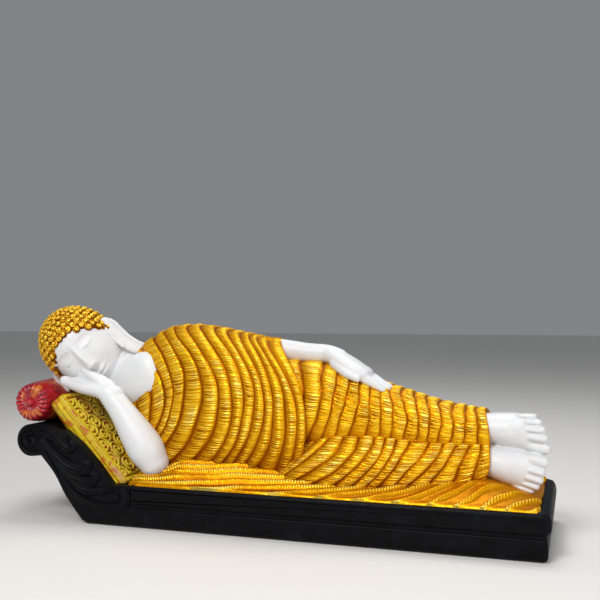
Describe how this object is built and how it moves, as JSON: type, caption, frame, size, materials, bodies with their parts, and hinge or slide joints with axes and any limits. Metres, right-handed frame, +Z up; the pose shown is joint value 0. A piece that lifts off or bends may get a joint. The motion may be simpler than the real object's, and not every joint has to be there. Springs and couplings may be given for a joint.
{
  "type": "reclining buddha statue",
  "caption": "Painted cast figure of a reclining buddha in a pleated gold robe, head on hand, lying on a black scrolled couch with cushion and bolster; stands on its flat underside.",
  "frame": {"origin": "on the flat underside of the couch, midway along the statue and midway through its depth", "axes": "+X along the length from the head to the feet, -Y out of the front the figure faces, +Z up"},
  "size_m": [0.3482, 0.1046, 0.1405],
  "materials": {
    "painted_resin": "gold, white, black, red and olive paint on white cast resin"
  },
  "bodies": {
    "root": {"reclining_buddha_statue": "painted_resin"}
  },
  "joints": []
}
